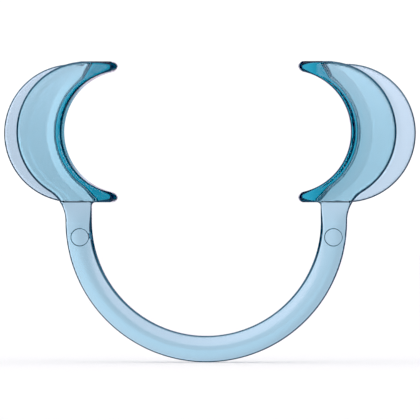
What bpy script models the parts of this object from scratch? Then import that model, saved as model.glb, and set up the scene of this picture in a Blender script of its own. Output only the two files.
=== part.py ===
"""A cheek retractor: a springy bow with a C-shaped cup at each end, made to hold the lips open.

The real thing is one moulding in clear blue plastic. Here it is divided into its named regions, each a
solid of its own: on each side a half of the bow, a neck, the web of the lip channel, a flange in front of
the lip, a larger flange behind it and the two horns that close the cup. Neighbours keep a small gap.

Frame: X across the mouth, Y from the front of the face (-Y) to the back, Z up. The origin is under the
lowest point of the bow, half-way through the depth.
"""

import math

import bmesh
import bpy
from mathutils import Vector

MM = 0.001
SIDES = (("left", -1), ("right", 1))

# Driving dimensions, in millimetres.
GAP = 0.3  # between two neighbouring regions of the moulding

BOW_OUTER_R = 39.0
BOW_WIDTH = 7.3  # radial
BOW_DEPTH = 3.2  # front to back
BOW_EDGE_R = 1.0
NECK_DEPTH = 2.6
BOW_CENTRE_Z = BOW_OUTER_R

CUP_DEPTH = 14.0  # from the front of the outer flange to the back of the inner one
CUP_Z = 63.65  # the level of the lip corner, where the cups are widest
FLANGE = 2.0
WEB = 1.6
EDGE_R = 0.7  # rounding of the flange rims

LIP_ARC_X, LIP_ARC_R = 23.2, 17.0  # the concave edge that faces the mouth
OUTER_RIM_X, OUTER_RIM_R = 33.4, 19.3  # the flange in front of the lip
INNER_RIM_X, INNER_RIM_R, INNER_RIM_DROP = 38.1, 19.2, 0.3  # the flange behind the lip

HORN_TIP_X = 25.5
HORN_TIP_R = 1.4
HORN_TIP_RISE = 18.0  # of the tip's centre, above or below CUP_Z
HORN_RISE = 19.5  # of the horn's outer, flat edge
HORN_ROOT_X = 32.5  # where the lip channel ends and the horn is solid

# What follows from them.
FRONT_Y = -CUP_DEPTH / 2
BACK_Y = CUP_DEPTH / 2
BOW_INNER_R = BOW_OUTER_R - BOW_WIDTH
BOW_MIDDLE_R = BOW_OUTER_R - BOW_WIDTH / 2
CUP_FLOOR_Z = CUP_Z - HORN_RISE
WEB_OUTER_R = LIP_ARC_R + WEB
FLANGE_END_X = HORN_ROOT_X + GAP
PIVOT = Vector((0, 0, BOW_CENTRE_Z - BOW_INNER_R)) * MM  # at the inner edge, on the middle line

# The flare is the arc that touches both the bow's outer edge, where it stands upright, and the outer rim.
RIM_INSET = BOW_OUTER_R - OUTER_RIM_X
RIM_ABOVE_BOW = CUP_Z - BOW_CENTRE_Z
FLARE_R = (RIM_ABOVE_BOW**2 + RIM_INSET**2 - OUTER_RIM_R**2) / (2 * (OUTER_RIM_R - RIM_INSET))
FLARE_X = BOW_OUTER_R + FLARE_R
FLARE_ANGLE = math.degrees(math.atan2(RIM_ABOVE_BOW, OUTER_RIM_X - FLARE_X))

# How finely round shapes are faceted.
STEP_DEG = 6
SECTION_STEPS = 4  # in each rounded corner of the bow's section
EDGE_STEPS = 1

# The plastic's colour where light passes a thin, a middling and a thick stretch of it.
PALE = (0.60, 0.76, 0.86)
MIDDLE = (0.34, 0.62, 0.74)
DEEP = (0.05, 0.36, 0.48)


def clear_scene():
    for obj in list(bpy.data.objects):
        bpy.data.objects.remove(obj, do_unlink=True)


def new_collection(name):
    collection = bpy.data.collections.new(name)
    bpy.context.scene.collection.children.link(collection)
    return collection


def clear_plastic(name, colour):
    material = bpy.data.materials.new(name)
    material.use_nodes = True
    shader = material.node_tree.nodes["Principled BSDF"]
    shader.inputs["Base Color"].default_value = (*colour, 1)
    shader.inputs["Metallic"].default_value = 0.0
    shader.inputs["Roughness"].default_value = 0.06
    shader.inputs["IOR"].default_value = 1.585
    shader.inputs["Transmission Weight"].default_value = 1.0
    return material


def arc(centre, radius, start, end):
    """Points (x, z) from the start angle to the end angle, in degrees, both included."""
    steps = max(2, math.ceil(abs(end - start) / STEP_DEG))
    angles = [math.radians(start + (end - start) * i / steps) for i in range(steps + 1)]
    return [(centre[0] + radius * math.cos(a), centre[1] + radius * math.sin(a)) for a in angles]


def angle_at_x(centre, radius, x, sign):
    """The angle at which a circle crosses a given x, on its upper (1) or lower (-1) side."""
    return sign * math.degrees(math.acos((x - centre[0]) / radius))


def angle_at_z(centre, radius, z, side):
    """The angle at which a circle crosses a given z, on its right (1) or left (-1) side."""
    angle = math.degrees(math.asin((z - centre[1]) / radius))
    return angle if side > 0 else -180 - angle


def finish(obj, collection, parent, colour):
    collection.objects.link(obj)
    obj.data.materials.append(clear_plastic(obj.name + "_plastic", colour))
    obj.parent = parent
    obj.location -= parent.location


def plate(name, sign, outline, y_front, thickness, edge, collection, parent, colour):
    """An upright plate with rounded edges, from an outline drawn for the right side."""
    points = outline if sign > 0 else [(-x, z) for x, z in reversed(outline)]
    curve = bpy.data.curves.new(name, "CURVE")
    curve.dimensions = "2D"
    curve.fill_mode = "BOTH"
    curve.extrude = (thickness / 2 - edge) * MM
    curve.bevel_depth = edge * MM
    curve.bevel_resolution = EDGE_STEPS
    curve.offset = -edge * MM
    spline = curve.splines.new("POLY")
    spline.points.add(len(points) - 1)
    for point, (x, z) in zip(spline.points, points):
        point.co = (x * MM, z * MM, 0, 1)
    spline.use_cyclic_u = True
    obj = bpy.data.objects.new(name, curve)
    obj.rotation_euler = (math.pi / 2, 0, 0)
    obj.location = (0, (y_front + thickness / 2) * MM, 0)
    finish(obj, collection, parent, colour)


def bow_section():
    """The bow's rounded rectangular section, as points (across, deep) round its centre."""
    across, deep = BOW_WIDTH / 2 - BOW_EDGE_R, BOW_DEPTH / 2 - BOW_EDGE_R
    points = []
    for quarter, (u, v) in enumerate(((across, deep), (-across, deep), (-across, -deep), (across, -deep))):
        for i in range(SECTION_STEPS + 1):
            a = math.pi / 2 * (quarter + i / SECTION_STEPS)
            points.append((u + BOW_EDGE_R * math.cos(a), v + BOW_EDGE_R * math.sin(a)))
    return points


def bow_half(name, sign, collection, parent, colour):
    """A quarter turn of the bow, from under the origin's middle line up to the neck."""
    end_angle = math.asin(GAP / 2 / BOW_MIDDLE_R)
    middle_y = FRONT_Y + BOW_DEPTH / 2
    centre = Vector((0, middle_y, BOW_CENTRE_Z)) * MM
    mesh = bmesh.new()
    corners = []
    for across, deep in bow_section():
        radius = BOW_MIDDLE_R + across
        x = sign * radius * math.sin(end_angle)
        z = BOW_CENTRE_Z - radius * math.cos(end_angle)
        corners.append(mesh.verts.new(Vector((x, middle_y + deep, z)) * MM))
    face = mesh.faces.new(corners)
    sweep = math.pi / 2 - 2 * end_angle
    bmesh.ops.spin(
        mesh,
        geom=[face, *face.edges, *face.verts],
        cent=centre,
        axis=(0, -sign, 0),
        angle=sweep,
        steps=math.ceil(math.degrees(sweep) / (STEP_DEG / 2)),
    )
    bmesh.ops.recalc_face_normals(mesh, faces=mesh.faces)
    data = bpy.data.meshes.new(name)
    mesh.to_mesh(data)
    mesh.free()
    data.shade_smooth()
    data.set_sharp_from_angle(angle=math.radians(40))
    finish(bpy.data.objects.new(name, data), collection, parent, colour)


def flare_angle_at(z):
    """The angle at which the flare's arc crosses a given z."""
    return 360 + angle_at_z((FLARE_X, BOW_CENTRE_Z), FLARE_R, z, -1)


def neck_outline():
    """From the bow's upright end to the foot of the cup: straight inside, flared outside."""
    bottom = BOW_CENTRE_Z + GAP / 2
    top = CUP_FLOOR_Z - GAP
    return [
        (BOW_INNER_R, top),
        (BOW_INNER_R, bottom),
        *arc((FLARE_X, BOW_CENTRE_Z), FLARE_R, flare_angle_at(bottom), flare_angle_at(top)),
    ]


def web_outline():
    """The wall between the flanges: a band along the concave edge, between the two horns."""
    centre = (LIP_ARC_X, CUP_Z)
    inner = angle_at_x(centre, LIP_ARC_R, FLANGE_END_X, 1)
    outer = angle_at_x(centre, WEB_OUTER_R, FLANGE_END_X, 1)
    return arc(centre, WEB_OUTER_R, -outer, outer) + arc(centre, LIP_ARC_R, inner, -inner)


def channel_floor_arc():
    """The flanges' inner edge, just clear of the web, from the upper horn to the lower one."""
    centre = (LIP_ARC_X, CUP_Z)
    angle = angle_at_x(centre, WEB_OUTER_R + GAP, FLANGE_END_X, 1)
    return arc(centre, WEB_OUTER_R + GAP, angle, -angle)


def outer_flange_outline():
    """The crescent in front of the lip, whose rim runs into the flare of the neck."""
    rim = (OUTER_RIM_X, CUP_Z)
    top = angle_at_x(rim, OUTER_RIM_R, FLANGE_END_X, 1)
    return [
        *channel_floor_arc(),
        (FLANGE_END_X, CUP_FLOOR_Z),
        *arc((FLARE_X, BOW_CENTRE_Z), FLARE_R, flare_angle_at(CUP_FLOOR_Z), FLARE_ANGLE),
        *arc(rim, OUTER_RIM_R, FLARE_ANGLE - 180, top)[1:],
    ]


def inner_flange_outline():
    """The larger crescent behind the lip."""
    rim = (INNER_RIM_X, CUP_Z - INNER_RIM_DROP)
    return [
        *channel_floor_arc(),
        (FLANGE_END_X, rim[1] - INNER_RIM_R),
        *arc(rim, INNER_RIM_R, -90, 90),
        (FLANGE_END_X, rim[1] + INNER_RIM_R),
    ]


def horn_outline(level):
    """The solid, round-ended horn above (1) or below (-1) the mouth's corner line."""
    centre = (LIP_ARC_X, CUP_Z)
    tip = (HORN_TIP_X + HORN_TIP_R, CUP_Z + level * HORN_TIP_RISE)
    root = angle_at_x(centre, LIP_ARC_R, HORN_ROOT_X, 1)
    near_tip = angle_at_x(centre, LIP_ARC_R, tip[0] + HORN_TIP_R / 2, 1)
    points = [
        (HORN_ROOT_X, CUP_Z + level * HORN_RISE),
        *arc(tip, HORN_TIP_R, level * 90, level * 270),
        *arc(centre, LIP_ARC_R, level * near_tip, level * root),
    ]
    return points if level > 0 else points[::-1]


def make_side(side, sign, collection, pivot):
    """All regions of one side, on the empty that they turn with."""

    def add(region, outline, y_front, thickness, edge, colour):
        plate(f"{side}_{region}", sign, outline, y_front, thickness, edge, collection, pivot, colour)

    bow_half(f"{side}_bow_half", sign, collection, pivot, PALE)
    add("neck", neck_outline(), FRONT_Y, NECK_DEPTH, EDGE_R / 2, PALE)
    add("lip_channel_web", web_outline(), FRONT_Y, CUP_DEPTH, EDGE_R / 2, DEEP)
    add("outer_flange", outer_flange_outline(), FRONT_Y, FLANGE, EDGE_R, MIDDLE)
    add("inner_flange", inner_flange_outline(), BACK_Y - FLANGE, FLANGE, EDGE_R, PALE)
    add("upper_horn", horn_outline(1), FRONT_Y, CUP_DEPTH, EDGE_R, DEEP)
    add("lower_horn", horn_outline(-1), FRONT_Y, CUP_DEPTH, EDGE_R, DEEP)


def main():
    clear_scene()
    collection = new_collection("cheek_retractor")
    for side, sign in SIDES:
        pivot = bpy.data.objects.new(f"{side}_squeeze_axis", None)
        pivot.location = PIVOT
        collection.objects.link(pivot)
        make_side(side, sign, collection, pivot)


main()
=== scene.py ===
"""The cheek retractor as it really is: one seamless moulding in clear blue plastic, polished all over.

The moulding is an implicit solid. A few plane outlines (bow, flare, crescents, horns) are given a depth
with rounded edges, and the lip channel is taken out of them with rounded corners. A net of square faces is
laid over that solid and drawn onto its exact surface.
"""

import math

import bmesh
import bpy
import numpy as np
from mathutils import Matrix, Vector


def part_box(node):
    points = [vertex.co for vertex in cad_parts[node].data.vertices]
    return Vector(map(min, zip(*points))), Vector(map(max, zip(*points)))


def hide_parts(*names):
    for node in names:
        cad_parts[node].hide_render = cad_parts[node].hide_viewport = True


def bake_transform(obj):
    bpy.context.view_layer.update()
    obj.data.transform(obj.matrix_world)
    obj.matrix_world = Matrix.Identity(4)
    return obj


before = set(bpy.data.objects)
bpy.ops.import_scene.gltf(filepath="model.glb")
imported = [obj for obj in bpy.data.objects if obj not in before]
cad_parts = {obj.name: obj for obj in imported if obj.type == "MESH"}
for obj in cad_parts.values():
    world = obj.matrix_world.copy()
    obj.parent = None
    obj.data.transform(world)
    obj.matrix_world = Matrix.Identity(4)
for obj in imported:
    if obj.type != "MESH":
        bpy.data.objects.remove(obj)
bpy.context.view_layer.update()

MM = 0.001


def mm(vector):
    return np.array(vector) / MM


# The sizes that the CAD nodes have, in millimetres.
BOW_LOW, BOW_HIGH = (mm(corner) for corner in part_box("right_bow_half"))
NECK_LOW, NECK_HIGH = (mm(corner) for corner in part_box("right_neck"))
OUTER_LOW, OUTER_HIGH = (mm(corner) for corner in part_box("right_outer_flange"))
INNER_LOW, INNER_HIGH = (mm(corner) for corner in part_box("right_inner_flange"))
HORN_LOW, HORN_HIGH = (mm(corner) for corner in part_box("right_upper_horn"))

WEB_OUTER_X = mm(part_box("right_lip_channel_web")[1])[0]

FRONT_Y, BACK_Y = OUTER_LOW[1], INNER_HIGH[1]
FLANGE = OUTER_HIGH[1] - OUTER_LOW[1]
BOW_OUTER_R = BOW_HIGH[0]
BOW_WIDTH = BOW_HIGH[0] - NECK_LOW[0]
BOW_DEPTH = BOW_HIGH[1] - BOW_LOW[1]
BOW_CENTRE_Z = BOW_OUTER_R
NECK_DEPTH = NECK_HIGH[1] - NECK_LOW[1]
BOW_INNER_R = BOW_OUTER_R - BOW_WIDTH
BOW_MIDDLE_R = BOW_OUTER_R - BOW_WIDTH / 2

CUP_TOP_Z = HORN_HIGH[2]
CUP_FLOOR_Z = OUTER_LOW[2]
CUP_Z = (CUP_TOP_Z + CUP_FLOOR_Z) / 2
CUP_RISE = (CUP_TOP_Z - CUP_FLOOR_Z) / 2

# The arcs of the crescents, of which the CAD nodes show only the ends.
LIP_ARC_R = 17.0
LIP_ARC_X = 23.2
CHANNEL_ARC_R = 18.0
OUTER_RIM_R = CUP_RISE
INNER_RIM_R = 19.2
CHANNEL_ARC_X = WEB_OUTER_X - CHANNEL_ARC_R
OUTER_RIM_X = OUTER_HIGH[0] - OUTER_RIM_R
INNER_RIM_X = INNER_HIGH[0] - INNER_RIM_R
INNER_RIM_Z = (INNER_LOW[2] + INNER_HIGH[2]) / 2
HORN_TIP_X = HORN_LOW[0]
HORN_ROOT_X = HORN_HIGH[0]

# Roundings. The web's edges grow to the rim's over a band, counted from the concave edge, and the inner rim
# runs into the horns over RIM_TO_HORN.
BOW_EDGE_R = 0.5
ARM_INNER_EDGE_R = 1.25
BOW_CROWN = 0.12
RIM_EDGE_R = 0.9
BACK_RIM_EDGE_R = 0.6
WEB_EDGE_R = 0.5
WEB_EDGE_BAND = 0.6, 1.8
RIM_TO_HORN = 1.0
HORN_EDGE_R = 1.7
HORN_TIP_R = 1.6
HORN_NOSE = 2.8
NOSE_END_X = HORN_TIP_X - 0.5
HORN_SWEEP = 0.002
NECK_FILLET_R = 1.0
SHOULDER_RISE = 0.3

# The channel's inner corners. Its back wall thickens towards the web, as a slope that begins at a clear line.
# Its ends are cut off aslant: each runs through its X at CHANNEL_END_RISE above or below the cup's middle.
CHANNEL_FRONT_R = 0.5
CHANNEL_BACK_R = 0.4
CHANNEL_END_R = 1.2
SLOPE_WIDTH = 3.4
SLOPE_RISE = 0.9
CHANNEL_END_RISE = 17.0
UPPER_END_X, UPPER_END_SLANT = 32.7, 0.6
LOWER_END_X, LOWER_END_SLANT = 31.7, 0.97
CHANNEL_END_FROM = 12.0

# The solid horns and the rest of the cup overlap round the horn's root.
OVERLAP = 2.4
CUP_END_X = HORN_ROOT_X - OVERLAP
HORN_END_X = HORN_ROOT_X + OVERLAP

# The wall along the mouth is drafted both ways from the parting line, where it stands a little proud.
PARTING_Y = -2.2
PARTING_RISE = 0.5
WALL_DRAFT = 0.4

# The arc that carries the bow's outer edge into the outer rim.
RIM_INSET = BOW_OUTER_R - OUTER_RIM_X
RIM_ABOVE_BOW = CUP_Z - BOW_CENTRE_Z
FLARE_R = (RIM_ABOVE_BOW**2 + RIM_INSET**2 - OUTER_RIM_R**2) / (2 * (OUTER_RIM_R - RIM_INSET))
FLARE_X = BOW_OUTER_R + FLARE_R

# Mould marks on the back of each arm: a round ejector mark, and the line where the straight neck begins.
MARK_X, MARK_Z = 35.15, 34.5
MARK_R = 2.4
MARK_DEPTH = 0.2
MARK_SLOPE = 0.16
LINE_Z = 38.2
LINE_DEPTH = 0.04
LINE_WIDTH = 0.2

# The net: the size of its cells, the empty margin round the plastic, and the rounds that draw it onto the
# surface, even it out, and draw it once more when its fine places are divided.
NET_STEP = 0.45
NET_MARGIN = 1.0
DRAW_ROUNDS = 6
RELAX_ROUNDS = 8
SETTLE_ROUNDS = 4

# The most that one round moves a point, and the least slope and length that it divides by.
MOST_SHIFT = 0.5
LEAST_SLOPE = 0.05
TINY = 1e-9

# How near a mould mark the net is made finer, and how often it is divided at the marks and in the horns.
NEAR_MARK = 0.5
MARK_LEVELS, HORN_LEVELS = 2, 1


def rounded_corner(a, b, radius):
    """The distance to the corner where a and b are both inside, rounded off."""
    out_a, out_b = np.maximum(a + radius, 0), np.maximum(b + radius, 0)
    return np.hypot(out_a, out_b) + np.minimum(np.maximum(a, b) + radius, 0) - radius


def rounded_corner_3(a, b, c, radius):
    outside = [np.maximum(d + radius, 0) for d in (a, b, c)]
    inside = np.minimum(np.maximum(np.maximum(a, b), c) + radius, 0)
    return np.sqrt(sum(d * d for d in outside)) + inside - radius


def soft_min(a, b, width):
    """The smaller of two distances, with the crease between them smoothed over the given width."""
    mix = np.clip(0.5 + 0.5 * (b - a) / width, 0, 1)
    return b + (a - b) * mix - width * mix * (1 - mix)


def ramp(value, start, end):
    t = np.clip((value - start) / (end - start), 0, 1)
    return t * t * (3 - 2 * t)


def slab(y, low, high):
    return np.abs(y - (low + high) / 2) - (high - low) / 2


def arm_outline(x, z):
    """The bow and its straight arms, seen from the front."""
    below = np.hypot(x, np.minimum(z - BOW_CENTRE_Z, 0))
    radius = np.where(z < BOW_CENTRE_Z, below, x)
    return np.maximum(np.abs(radius - BOW_MIDDLE_R) - BOW_WIDTH / 2, z - CUP_Z)


def flare_outline(x, z):
    """What lies between the arm, the outer rim and the arc that joins them."""
    flare = FLARE_R - np.hypot(x - FLARE_X, z - BOW_CENTRE_Z)
    to_rim = np.array((FLARE_X - OUTER_RIM_X, BOW_CENTRE_Z - CUP_Z))
    across = np.array((-to_rim[1], to_rim[0])) / np.hypot(*to_rim)
    beyond = (x - FLARE_X) * across[0] + (z - BOW_CENTRE_Z) * across[1]
    return np.maximum(np.maximum(flare, beyond), np.maximum(BOW_CENTRE_Z - z, BOW_MIDDLE_R - x))


def neck_fillet(x, z):
    """The small rounding between the arm's inner edge and the underside of the lower horn."""
    centre_x, centre_z = BOW_INNER_R - NECK_FILLET_R, CUP_FLOOR_Z - NECK_FILLET_R
    fillet = NECK_FILLET_R - np.hypot(x - centre_x, z - centre_z)
    square = np.maximum(slab(x, centre_x, BOW_MIDDLE_R), slab(z, centre_z, CUP_FLOOR_Z + FLANGE))
    return np.maximum(fillet, square)


def lip_arc(x, z):
    """Positive on the mouth's side of the concave edge."""
    return LIP_ARC_R - np.hypot(x - LIP_ARC_X, z - CUP_Z)


def horn_outline(x, wall_x, z, nose):
    """Both horns, solid from the tips to a little past the ends of the channel."""
    rise = np.abs(z - CUP_Z)
    tip = rounded_corner_3(rise - CUP_RISE, lip_arc(wall_x, z), nose, HORN_TIP_R)
    return np.maximum(tip, x - HORN_END_X)


def horn_nose(x, y):
    """The end of the horns, which is round when seen from above."""
    ahead = np.maximum(NOSE_END_X + HORN_NOSE - x, 0) / HORN_NOSE
    return (np.hypot(ahead, ramp(ahead, 0, 1) * y / BACK_Y) - 1) * HORN_NOSE


def crescent(x, z, rim_x, rim_z, rim_r):
    """A flange between a rim and the concave edge, with its ends carried on level into the horns."""
    rim = np.hypot(x - rim_x, z - rim_z) - rim_r
    level = np.maximum(np.abs(z - rim_z) - rim_r, x - rim_x)
    return np.maximum(np.maximum(np.minimum(rim, level), lip_arc(x, z)), CUP_END_X - x)


def plate(outline, y, low, high, edge):
    return rounded_corner(outline, slab(y, low, high), edge)


def mould_marks(x, z):
    """How far the back of an arm is sunk at the ejector mark and at the line above it."""
    disc = MARK_DEPTH * ramp(MARK_R - np.hypot(x - MARK_X, z - MARK_Z), -MARK_SLOPE, MARK_SLOPE)
    line = LINE_DEPTH * np.exp(-(((z - LINE_Z) / LINE_WIDTH) ** 2))
    return disc + line


def channel_end(x, z, end_x, slant):
    """Positive on the horn's side of the slanted end of the channel."""
    rise = np.maximum(np.abs(z - CUP_Z), CHANNEL_END_FROM)
    return (end_x - slant * (rise - CHANNEL_END_RISE) - x) / math.hypot(1, slant)


def channel(x, y, z):
    """The groove that holds the lip, open outwards."""
    floor = CHANNEL_ARC_R - np.hypot(x - CHANNEL_ARC_X, z - CUP_Z)
    slope = SLOPE_RISE * np.clip(1 + floor / SLOPE_WIDTH, 0, 1)
    walls = slab(y, FRONT_Y + FLANGE, BACK_Y - FLANGE - slope)
    upper = channel_end(x, z, UPPER_END_X, UPPER_END_SLANT)
    lower = channel_end(x, z, LOWER_END_X, LOWER_END_SLANT)
    end = np.where(z < CUP_Z, lower, upper)
    radius = np.where(y < 0, CHANNEL_FRONT_R, CHANNEL_BACK_R)
    radius = radius + (CHANNEL_END_R - radius) * ramp(end - floor, -CHANNEL_END_R, CHANNEL_END_R)
    return rounded_corner(np.maximum(floor, end), walls, radius)


def front_part(x, wall_x, y, z):
    """The bow, the necks and the front flanges, which share one front face."""
    cup = np.maximum(crescent(x, z, OUTER_RIM_X, CUP_Z, OUTER_RIM_R), CUP_FLOOR_Z - z)
    outline = np.minimum(cup, flare_outline(x, z))
    outline = np.minimum(outline, np.minimum(arm_outline(x, z), neck_fillet(x, z)))
    outline = np.maximum(outline, lip_arc(wall_x, z))

    in_cup = ramp(z, CUP_FLOOR_Z, CUP_FLOOR_Z + SHOULDER_RISE)
    in_neck = ramp(z, BOW_CENTRE_Z - BOW_WIDTH / 2, CUP_FLOOR_Z)
    across = np.hypot(x, np.minimum(z - BOW_CENTRE_Z, 0)) - BOW_MIDDLE_R
    crown = (1 - in_neck) * BOW_CROWN * np.minimum((2 * across / BOW_WIDTH) ** 2, 1)
    depth = BOW_DEPTH + (NECK_DEPTH - BOW_DEPTH) * in_neck + (FLANGE - NECK_DEPTH) * in_cup
    depth = depth - mould_marks(x, z)
    inner = ramp(across, 0, -BOW_WIDTH / 2) * ramp(z, 0, BOW_CENTRE_Z) * (1 - in_neck)
    edge = BOW_EDGE_R + (ARM_INNER_EDGE_R - BOW_EDGE_R) * inner + (RIM_EDGE_R - BOW_EDGE_R) * in_cup
    return plate(outline, y, FRONT_Y + crown, FRONT_Y + depth - crown, edge)


def moulding(x, y, z):
    """Below zero inside the plastic. All sizes are in millimetres."""
    x = np.abs(x)
    wall_x = x - np.interp(y, (FRONT_Y, PARTING_Y, BACK_Y), (0, -PARTING_RISE, WALL_DRAFT))
    horns = horn_outline(x, wall_x, z, horn_nose(x, y))
    y = y * (1 + HORN_SWEEP * np.where(z < CUP_FLOOR_Z, 0, np.maximum(HORN_ROOT_X - x, 0)) ** 2)
    front = front_part(x, wall_x, y, z)

    wall = lip_arc(wall_x, z)
    rim = np.maximum(np.hypot(x - INNER_RIM_X, z - INNER_RIM_Z) - INNER_RIM_R, np.abs(z - CUP_Z) - CUP_RISE)
    rim = np.maximum(soft_min(rim, horns, RIM_TO_HORN), np.maximum(wall, CUP_END_X - x))
    edge = RIM_EDGE_R + (BACK_RIM_EDGE_R - RIM_EDGE_R) * ramp(x, CUP_END_X, HORN_END_X)
    back = plate(rim, y, BACK_Y - FLANGE, BACK_Y, edge)

    reach = np.hypot(x - CHANNEL_ARC_X, z - CUP_Z) - CHANNEL_ARC_R - SLOPE_WIDTH
    web = np.maximum(np.maximum(reach, wall), np.abs(z - CUP_Z) - CUP_RISE)
    web = np.maximum(web, CUP_END_X - x)
    in_horn = ramp(x, CUP_END_X, HORN_TIP_X)
    edge = WEB_EDGE_R + (RIM_EDGE_R - WEB_EDGE_R) * ramp(-wall, *WEB_EDGE_BAND)
    edge = edge + (HORN_EDGE_R - RIM_EDGE_R) * in_horn
    core = plate(np.minimum(web, horns), y, FRONT_Y, BACK_Y, edge)
    cup = np.maximum(np.minimum(back, core), -channel(x, y, z))
    return np.minimum(front, cup)


def net_over(field, low, high, step):
    """Surface nets: one point in each cell that the surface crosses, one square for each crossed edge."""
    counts = [int(math.ceil((b - a) / step)) + 1 for a, b in zip(low, high)]
    axes = [a + step * np.arange(n) for a, n in zip(low, counts)]
    inside = np.empty(counts, bool)
    for i, x in enumerate(axes[0]):
        y, z = np.meshgrid(axes[1], axes[2], indexing="ij")
        inside[i] = field(np.full_like(y, x), y, z) < 0
    total = np.zeros([n - 1 for n in counts], np.int8)
    for corner in np.ndindex(2, 2, 2):
        part = tuple(slice(c, n - 1 + c) for c, n in zip(corner, counts))
        total += inside[part]
    crossed = (total > 0) & (total < 8)
    number = np.full(crossed.shape, -1)
    number[crossed] = np.arange(crossed.sum())
    cells = np.argwhere(crossed)
    points = np.array(low) + step * (cells + 0.5)

    faces = []
    for axis in range(3):
        b, c = (axis + 1) % 3, (axis + 2) % 3
        ahead = np.roll(inside, -1, axis)
        change = inside != ahead
        edges = np.argwhere(change)
        edges = edges[(edges[:, axis] < counts[axis] - 1) & (edges[:, b] > 0) & (edges[:, c] > 0)]
        step_b, step_c = np.eye(3, dtype=int)[b], np.eye(3, dtype=int)[c]
        ring = [edges, edges - step_b, edges - step_b - step_c, edges - step_c]
        quads = np.stack([number[tuple(r.T)] for r in ring], axis=1)
        starts_inside = inside[tuple(edges.T)]
        faces.append(np.where(starts_inside[:, None], quads, quads[:, ::-1]))
    return points, np.concatenate(faces)


def gradient(field, p, reach=0.01):
    steps = np.eye(3) * reach
    return np.stack([(field(*(p + s).T) - field(*(p - s).T)) / (2 * reach) for s in steps], axis=1)


def draw_onto(field, points, rounds):
    """Moves points along the field's gradient until they lie on its surface."""
    for _ in range(rounds):
        slope = gradient(field, points)
        size = np.maximum((slope * slope).sum(1), LEAST_SLOPE)
        shift = slope * (field(*points.T) / size)[:, None]
        length = np.linalg.norm(shift, axis=1, keepdims=True)
        points = points - shift * np.minimum(1, MOST_SHIFT / np.maximum(length, TINY))
    return points


def relax(field, points, faces, rounds):
    """Evens out the net along the surface."""
    edges = np.concatenate([faces[:, [i, (i + 1) % 4]] for i in range(4)])
    degree = np.bincount(edges[:, 0], minlength=len(points))
    for _ in range(rounds):
        ends = points[edges[:, 1]]
        total = [np.bincount(edges[:, 0], ends[:, k], len(points)) for k in range(3)]
        mean = np.stack(total, axis=1) / degree[:, None]
        points = draw_onto(field, (points + mean) / 2, 1)
    return points


def unit_normals(field, points):
    slope = gradient(field, points)
    return slope / np.linalg.norm(slope, axis=1, keepdims=True)


def near_marks(x, y, z):
    """True where the net has to be fine enough for the mould marks."""
    on_back = (y > FRONT_Y + BOW_DEPTH / 2) & (z < CUP_FLOOR_Z)
    by_disc = np.abs(np.hypot(np.abs(x) - MARK_X, z - MARK_Z) - MARK_R) < NEAR_MARK
    by_line = np.abs(z - LINE_Z) < NEAR_MARK
    return on_back & (by_disc | by_line)


def in_horns(x, y, z):
    """True in the horns and the ends of the channel, where many surfaces meet."""
    return (np.abs(x) < HORN_END_X) & (np.abs(z - CUP_Z) > CHANNEL_END_FROM)


def mesh_of(points, faces):
    mesh = bpy.data.meshes.new("retractor_moulding")
    mesh.from_pydata(points, [], faces.tolist())
    return mesh


def refine(mesh, where, levels):
    """Divides the faces where the shape has fine detail."""
    cage = bmesh.new()
    cage.from_mesh(mesh)
    for _ in range(levels):
        edges = [e for e in cage.edges if all(where(*v.co) for v in e.verts)]
        bmesh.ops.subdivide_edges(cage, edges=edges, cuts=1, use_grid_fill=True)
    bmesh.ops.triangulate(cage, faces=[f for f in cage.faces if len(f.verts) > 4])
    cage.to_mesh(mesh)
    cage.free()


def settle(mesh, field):
    """Draws the mesh onto the surface, and gives it the surface's own normals."""
    points = np.empty(3 * len(mesh.vertices))
    mesh.vertices.foreach_get("co", points)
    points = draw_onto(field, points.reshape(-1, 3), SETTLE_ROUNDS)
    normals = unit_normals(field, points)
    mesh.vertices.foreach_set("co", (points * MM).ravel())
    mesh.shade_smooth()
    mesh.normals_split_custom_set_from_vertices(normals)


class Wiring:
    """Short forms for the arithmetic nodes of one node tree."""

    def __init__(self, tree):
        self.tree = tree

    def feed(self, socket, value):
        if hasattr(value, "is_output"):
            self.tree.links.new(value, socket)
        else:
            socket.default_value = value

    def math(self, operation, *values):
        node = self.tree.nodes.new("ShaderNodeMath")
        node.operation = operation
        for socket, value in zip(node.inputs, values):
            self.feed(socket, value)
        return node.outputs[0]

    def ramp(self, value, start, end, low=0.0, high=1.0):
        node = self.tree.nodes.new("ShaderNodeMapRange")
        node.interpolation_type = "SMOOTHSTEP"
        names = ("Value", "From Min", "From Max", "To Min", "To Max")
        for name, entry in zip(names, (value, start, end, low, high)):
            self.feed(node.inputs[name], entry)
        return node.outputs["Result"]


ABSORBED_PER_MM = (0.22, 0.072, 0.055)
REFRACTION = 1.585
ROUGHNESS = 0.06

# The painted shade of the rounded rims, which lie between a face, with its normal along Y, and a wall, across
# it.
PAINTED_RIM_SHADE = (0.06, 0.20, 0.28)
FACE_LEAST, EDGE_FULL, EDGE_LEAST, WALL_MOST = 0.96, 0.82, 0.30, 0.12


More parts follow.
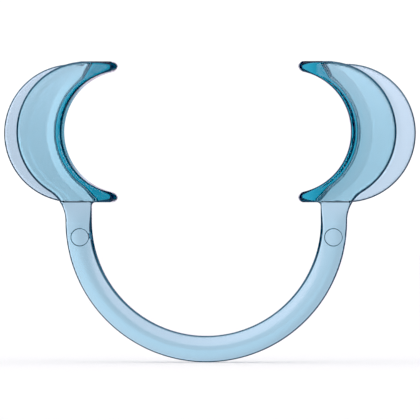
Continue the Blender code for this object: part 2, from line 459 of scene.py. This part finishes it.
def clear_blue_plastic():
    """Clear plastic that takes out mostly red light with depth, with painted shade darkening its rounded
    rims.
    """
    material = bpy.data.materials.new("clear_blue_plastic")
    material.use_nodes = True
    tree = material.node_tree
    wire = Wiring(tree)
    shader = tree.nodes["Principled BSDF"]
    normal = tree.nodes.new("ShaderNodeSeparateXYZ")
    tree.links.new(tree.nodes.new("ShaderNodeNewGeometry").outputs["Normal"], normal.inputs[0])
    # Painted shade: the base colour turns dark teal on the rounded rims, found from the normal's Y, on top of
    # the dark lines that refraction gives there.
    across = wire.math("ABSOLUTE", normal.outputs["Y"])
    off_face = wire.ramp(across, FACE_LEAST, EDGE_FULL)
    off_wall = wire.ramp(across, WALL_MOST, EDGE_LEAST)
    edge = wire.math("MULTIPLY", off_face, off_wall)
    tone = tree.nodes.new("ShaderNodeMix")
    tone.data_type = "RGBA"
    tone.inputs["A"].default_value = (1, 1, 1, 1)
    tone.inputs["B"].default_value = (*PAINTED_RIM_SHADE, 1)
    tree.links.new(edge, tone.inputs["Factor"])
    tree.links.new(tone.outputs["Result"], shader.inputs["Base Color"])
    shader.inputs["IOR"].default_value = REFRACTION
    shader.inputs["Roughness"].default_value = ROUGHNESS
    shader.inputs["Transmission Weight"].default_value = 1.0
    most = max(ABSORBED_PER_MM)
    tint = tree.nodes.new("ShaderNodeVolumeAbsorption")
    tint.inputs["Color"].default_value = (*(1 - share / most for share in ABSORBED_PER_MM), 1)
    tint.inputs["Density"].default_value = most / MM
    tree.links.new(tint.outputs["Volume"], tree.nodes["Material Output"].inputs["Volume"])
    return material


def make_moulding():
    low = np.array((-INNER_HIGH[0], FRONT_Y, 0)) - NET_MARGIN
    high = np.array((INNER_HIGH[0], BACK_Y, CUP_TOP_Z)) + NET_MARGIN
    points, faces = net_over(moulding, low, high, NET_STEP)
    points = draw_onto(moulding, points, DRAW_ROUNDS)
    points = relax(moulding, points, faces, RELAX_ROUNDS)
    mesh = mesh_of(points, faces)
    refine(mesh, near_marks, MARK_LEVELS)
    refine(mesh, in_horns, HORN_LEVELS)
    settle(mesh, moulding)
    mesh.materials.append(clear_blue_plastic())
    piece = bpy.data.objects.new("retractor_moulding", mesh)
    bpy.context.scene.collection.objects.link(piece)
    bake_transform(piece)
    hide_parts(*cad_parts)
    return piece


FLOOR_SIZE = 6.0


def make_stage():
    """A pale floor. The plastic shows the studio instead of it, as if it lay on glass."""
    corners = [(FLOOR_SIZE * i, FLOOR_SIZE * j, 0) for i, j in ((-1, -1), (1, -1), (1, 1), (-1, 1))]
    mesh = bpy.data.meshes.new("floor")
    mesh.from_pydata(corners, [], [(0, 1, 2, 3)])
    material = bpy.data.materials.new("floor")
    material.use_nodes = True
    shader = material.node_tree.nodes["Principled BSDF"]
    shader.inputs["Base Color"].default_value = (1, 1, 1, 1)
    shader.inputs["Roughness"].default_value = 1
    shader.inputs["Specular IOR Level"].default_value = 0
    mesh.materials.append(material)
    floor = bpy.data.objects.new("floor", mesh)
    floor.visible_transmission = False
    floor.visible_glossy = False
    bpy.context.scene.collection.objects.link(floor)


# What the camera sees behind the plastic, and what the picture's black is.
BACKDROP = 1.07
BLACK_LEVEL = 0.03

# What shows through the plastic and on it: the tones of its bright and its dark parts.
SEEN_THROUGH = (0.85, 0.78, 0.92)
DARK_TONE = (0.04, 0.09, 0.14)

# A sheet of bright paper behind it, a little brighter to the sides, which ends at an angle from the middle.
ASIDE = math.radians(2.5), math.radians(9)
RIGHT_GLOW, LEFT_GLOW = 1.3, 1.1
SLANT = math.radians(1.6)
SLANT_LEFT, SLANT_RIGHT = 0.94, 1.13
PAPER_ENDS = math.radians(12), math.radians(22)

# Pale sides, a pale table and a light above. Heights are sines of the angle from the level.
SIDES_START = math.radians(68), math.radians(82)
SIDE_LEVEL = 0.8
TABLE_START = math.radians(14), math.radians(26)
TABLE_DEPTH = 0.14, 0.24
TABLE_LEVEL = 0.45
TOP_HEIGHT = 0.85, 0.97
TOP_LIGHT = 1.5

# A dark zone in front of it, with a narrow soft box in the dark.
FRONT_WIDTH = math.radians(30), math.radians(40)
FRONT_HEIGHT = 0.45, 0.6
BOX_FOOT = 0.0105, 0.019
BOX_TOP = 0.1, 0.2
BOX_WIDTH = math.radians(8), math.radians(11)
SOFT_BOX = 3.5


def paper_light(wire, aside):
    """How bright the paper is at an angle to the right of the middle."""
    slant = wire.ramp(aside, -SLANT, SLANT, SLANT_LEFT, SLANT_RIGHT)
    right = wire.ramp(aside, *ASIDE, 1.0, RIGHT_GLOW)
    left = wire.ramp(wire.math("MULTIPLY", aside, -1.0), *ASIDE, 1.0, LEFT_GLOW)
    return wire.math("MULTIPLY", slant, wire.math("MULTIPLY", right, left))


def light_behind(wire, x, y, z):
    """The strength of the paper, the sides, the table and the top, in a direction from the plastic."""
    aside = wire.math("ADD", wire.math("ARCTAN2", x, y), CAMERA_AZIMUTH)
    level = wire.math("COSINE", wire.math("ARCSINE", z))
    off_axis = wire.math("ARCCOSINE", wire.math("MULTIPLY", wire.math("COSINE", aside), level))
    paper = wire.ramp(off_axis, *PAPER_ENDS, 1.0, 0.0)
    sides = wire.ramp(off_axis, *SIDES_START, 0.0, SIDE_LEVEL)
    down = wire.ramp(wire.math("MULTIPLY", z, -1.0), *TABLE_DEPTH)
    table = wire.math("MULTIPLY", wire.ramp(off_axis, *TABLE_START, 0.0, TABLE_LEVEL), down)
    top = wire.ramp(z, *TOP_HEIGHT, 0.0, TOP_LIGHT)
    back = wire.math("MULTIPLY", paper_light(wire, aside), paper)
    return wire.math("MAXIMUM", wire.math("MAXIMUM", back, top), wire.math("MAXIMUM", sides, table))


def studio_strength(wire, x, y, z):
    """The light behind, with the dark zone and its soft box in front."""
    behind = light_behind(wire, x, y, z)
    ahead = wire.math("ABSOLUTE", wire.math("ARCTAN2", x, wire.math("MULTIPLY", y, -1.0)))
    below_top = wire.ramp(z, *BOX_TOP, 1.0, 0.0)
    box = wire.math("MULTIPLY", wire.ramp(z, *BOX_FOOT, 0.0, SOFT_BOX), below_top)
    box = wire.math("MULTIPLY", box, wire.ramp(ahead, *BOX_WIDTH, 1.0, 0.0))
    near_level = wire.ramp(wire.math("ABSOLUTE", z), *FRONT_HEIGHT, 1.0, 0.0)
    in_front = wire.math("MULTIPLY", wire.ramp(ahead, *FRONT_WIDTH, 1.0, 0.0), near_level)
    lit = wire.math("MULTIPLY", behind, wire.math("SUBTRACT", 1.0, in_front))
    return wire.math("ADD", wire.math("MULTIPLY", box, in_front), lit)


def make_light():
    """A plain white studio for the camera and the floor. The plastic shows the studio described above."""
    world = bpy.data.worlds.new("studio")
    world.use_nodes = True
    tree = world.node_tree
    wire = Wiring(tree)
    direction = tree.nodes.new("ShaderNodeSeparateXYZ")
    place = tree.nodes.new("ShaderNodeTexCoord")
    tree.links.new(place.outputs["Generated"], direction.inputs[0])
    strength = studio_strength(wire, *direction.outputs)

    rays = tree.nodes.new("ShaderNodeLightPath")
    direct = wire.math("MAXIMUM", rays.outputs["Is Camera Ray"], rays.outputs["Is Diffuse Ray"])
    backdrop = tree.nodes["Background"]
    backdrop.inputs["Color"].default_value = (1, 1, 1, 1)
    backdrop.inputs["Strength"].default_value = BACKDROP
    studio = tree.nodes.new("ShaderNodeBackground")
    tone = tree.nodes.new("ShaderNodeVectorMath")
    tone.operation = "MULTIPLY_ADD"
    tone.inputs[0].default_value = tuple(bright - dark for bright, dark in zip(SEEN_THROUGH, DARK_TONE))
    tree.links.new(strength, tone.inputs[1])
    tone.inputs[2].default_value = DARK_TONE
    tree.links.new(tone.outputs[0], studio.inputs["Color"])
    mix = tree.nodes.new("ShaderNodeMixShader")
    tree.links.new(direct, mix.inputs[0])
    tree.links.new(studio.outputs[0], mix.inputs[1])
    tree.links.new(backdrop.outputs[0], mix.inputs[2])
    tree.links.new(mix.outputs[0], tree.nodes["World Output"].inputs["Surface"])
    bpy.context.scene.world = world
    view = bpy.context.scene.view_settings
    view.view_transform = "Standard"
    view.use_curve_mapping = True
    view.curve_mapping.black_level = (BLACK_LEVEL, BLACK_LEVEL, BLACK_LEVEL)
    view.curve_mapping.update()


# The camera stands a little to the right and looks level. All in metres but the sensor, in millimetres.
CAMERA_AZIMUTH = math.radians(4.6)
CAMERA_DISTANCE = 2.5
CLIP_END = 20
SENSOR = 36.0
WIDTH_SEEN = 0.11625
AIM_ASIDE = 0.00058
AIM_HEIGHT = 0.04204


def make_camera():
    data = bpy.data.cameras.new("camera")
    data.sensor_width = SENSOR
    data.lens = SENSOR * CAMERA_DISTANCE / WIDTH_SEEN
    data.clip_end = CLIP_END
    camera = bpy.data.objects.new("camera", data)
    bpy.context.scene.collection.objects.link(camera)
    aside = Vector((math.cos(CAMERA_AZIMUTH), math.sin(CAMERA_AZIMUTH), 0))
    toward = Vector((math.sin(CAMERA_AZIMUTH), -math.cos(CAMERA_AZIMUTH), 0))
    camera.location = aside * AIM_ASIDE + toward * CAMERA_DISTANCE + Vector((0, 0, AIM_HEIGHT))
    camera.rotation_euler = (math.pi / 2, 0, CAMERA_AZIMUTH)
    bpy.context.scene.camera = camera


make_moulding()
make_stage()
make_light()
make_camera()
